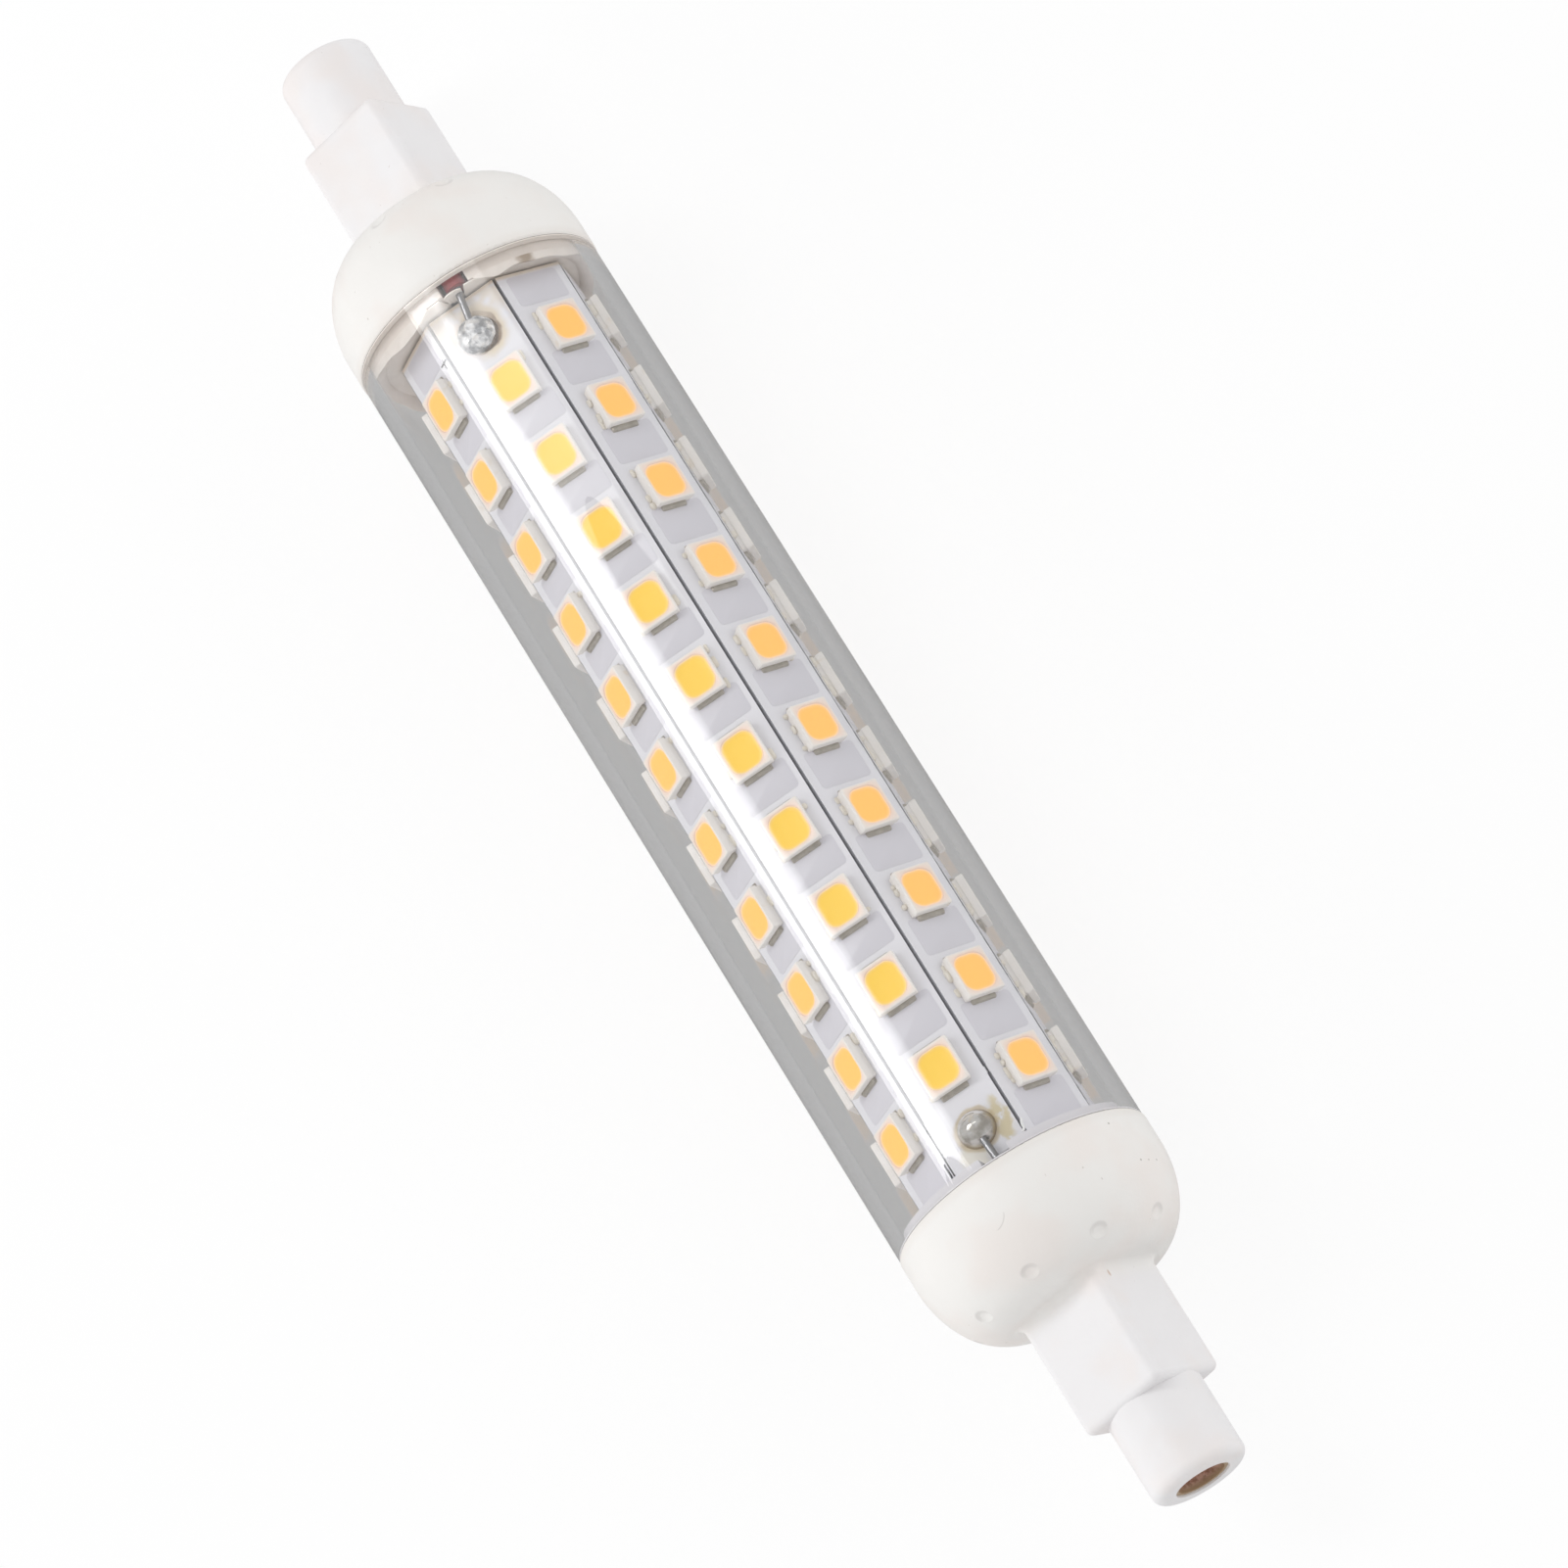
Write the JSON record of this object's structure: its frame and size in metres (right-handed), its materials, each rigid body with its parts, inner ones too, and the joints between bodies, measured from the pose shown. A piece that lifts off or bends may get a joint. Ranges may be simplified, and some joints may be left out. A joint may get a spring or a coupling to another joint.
{
  "type": "double-ended led corn bulb",
  "caption": "Double-ended tubular LED lamp: clear tube round a folded eight-sided LED board, ceramic end caps with square necks and recessed contacts.",
  "frame": {"origin": "mid-length on the tube's axis", "axes": "+X along the lamp from the plus end to the minus end, +Z out of the LED board's first facet, which carries both solder joints"},
  "size_m": [0.118, 0.0186, 0.0186],
  "materials": {
    "black_insulation": "soft sleeve",
    "board_mask": "satin white solder mask over a scored sheet",
    "cap_ceramic": "matt white, unglazed",
    "capacitor_sleeve": "shrunk sleeve",
    "chip_moulding": "moulded black",
    "clear_tube": "clear, polished",
    "contact_metal": "copper, dulled brown in the recess",
    "copper_winding": "enamelled copper",
    "driver_laminate": "green solder mask",
    "ferrite": "dark grey, sintered",
    "led_housing": "moulded white",
    "led_phosphor": "silicone filled with yellow phosphor",
    "led_terminal": "tinned",
    "red_insulation": "soft sleeve",
    "resistor_body": "lacquered",
    "solder": "bright solder",
    "tinned_wire": "tinned copper",
    "white_insulation": "soft sleeve"
  },
  "bodies": {
    "root": {"bridge_rectifier": "chip_moulding", "chip_resistors": "chip_moulding", "choke_core": "ferrite", "choke_winding": "copper_winding", "clear_tube": "clear_tube", "driver_board": "driver_laminate", "driver_chip": "chip_moulding", "driver_solder_joints": "solder", "fuse_resistor": "resistor_body", "led_board": "board_mask", "led_housings_row_1": "led_housing", "led_housings_row_2": "led_housing", "led_housings_row_3": "led_housing", "led_housings_row_4": "led_housing", "led_housings_row_5": "led_housing", "led_housings_row_6": "led_housing", "led_housings_row_7": "led_housing", "led_housings_row_8": "led_housing", "led_phosphors_row_1": "led_phosphor", "led_phosphors_row_2": "led_phosphor", "led_phosphors_row_3": "led_phosphor", "led_phosphors_row_4": "led_phosphor", "led_phosphors_row_5": "led_phosphor", "led_phosphors_row_6": "led_phosphor", "led_phosphors_row_7": "led_phosphor", "led_phosphors_row_8": "led_phosphor", "led_terminals_row_1": "led_terminal", "led_terminals_row_2": "led_terminal", "led_terminals_row_3": "led_terminal", "led_terminals_row_4": "led_terminal", "led_terminals_row_5": "led_terminal", "led_terminals_row_6": "led_terminal", "led_terminals_row_7": "led_terminal", "led_terminals_row_8": "led_terminal", "minus_board_solder_joint": "solder", "minus_contact_cup": "contact_metal", "minus_end_cap": "cap_ceramic", "minus_input_conductor": "tinned_wire", "minus_input_insulation": "white_insulation", "minus_output_conductor": "tinned_wire", "minus_output_insulation": "black_insulation", "plus_board_solder_joint": "solder", "plus_contact_cup": "contact_metal", "plus_end_cap": "cap_ceramic", "plus_input_conductor": "tinned_wire", "plus_input_insulation": "white_insulation", "plus_output_conductor": "tinned_wire", "plus_output_insulation": "red_insulation", "smoothing_capacitor": "capacitor_sleeve"}
  },
  "joints": []
}
